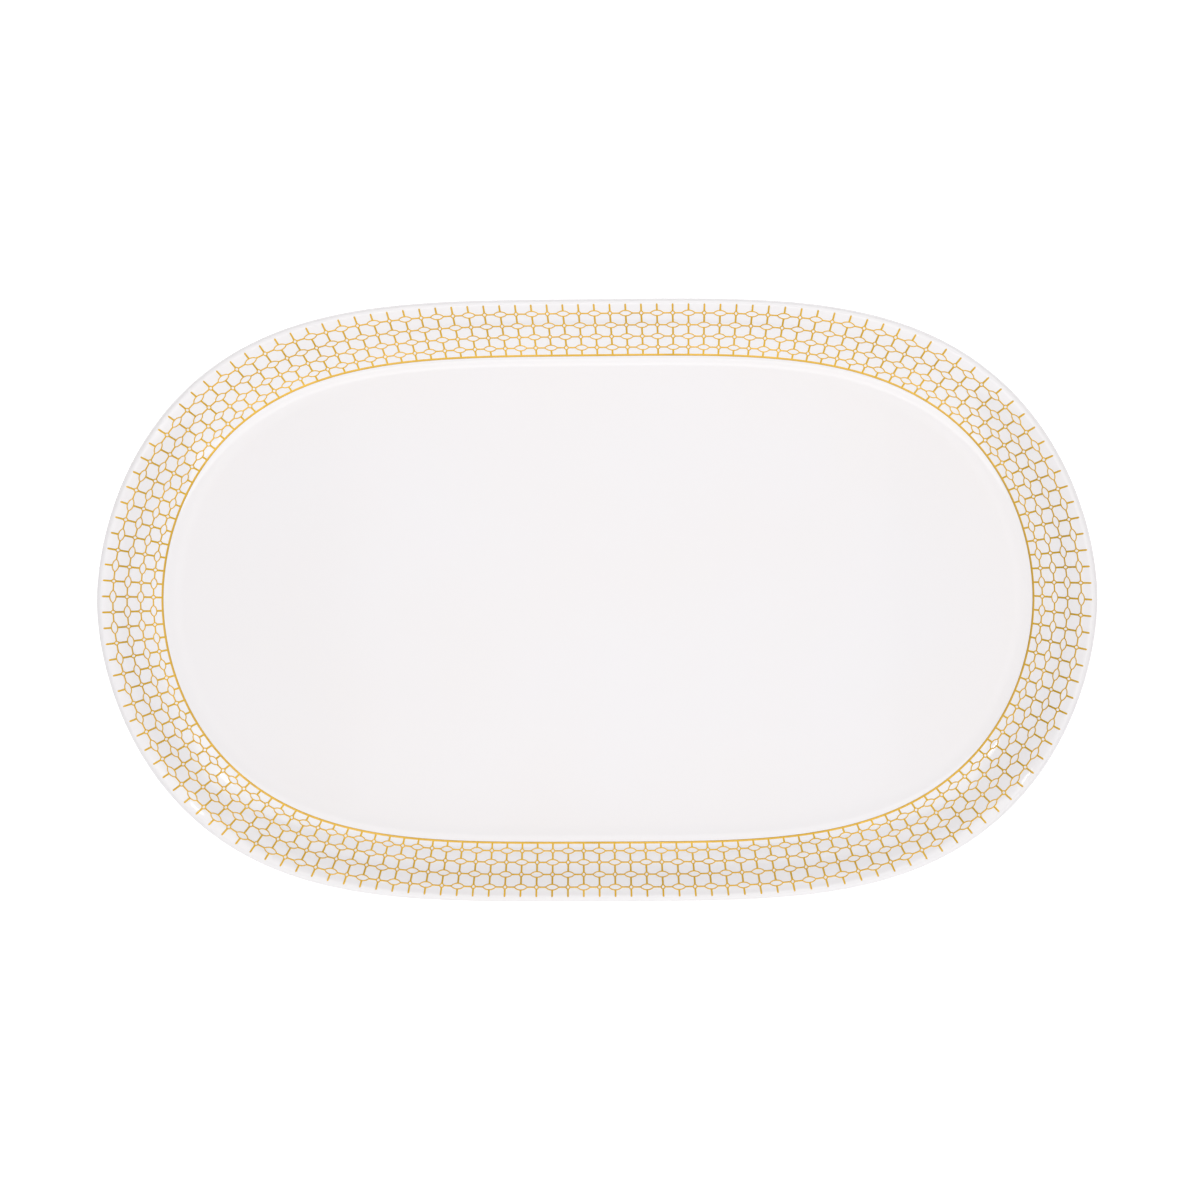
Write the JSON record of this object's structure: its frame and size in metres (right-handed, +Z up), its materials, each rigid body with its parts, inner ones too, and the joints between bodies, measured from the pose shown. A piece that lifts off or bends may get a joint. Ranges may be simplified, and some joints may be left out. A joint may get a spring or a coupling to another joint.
{
  "type": "china serving platter",
  "caption": "Oval white porcelain serving platter with a raised rim, a foot ring, a gold openwork lattice printed round the rim and a gold line at the well.",
  "frame": {"origin": "middle of the plane that the foot ring stands on, under the middle of the platter", "axes": "+X along the platter's length, +Y across it towards the side shown at the top of the picture, +Z up out of the well"},
  "size_m": [0.3798, 0.2288, 0.0238],
  "materials": {
    "bisque": "unglazed fired porcelain, fine matt, warm white",
    "glaze": "clear glossy glaze over white porcelain, very slightly cool",
    "lattice_gold": "printed burnished gold, semi-gloss",
    "line_gold": "banded burnished gold, semi-gloss, slightly deeper than the lattice"
  },
  "bodies": {
    "root": {"porcelain_body": "bisque", "glaze_coat": "glaze", "glaze_base": "glaze", "gold_lattice": "lattice_gold", "gold_well_line": "line_gold"}
  },
  "joints": []
}
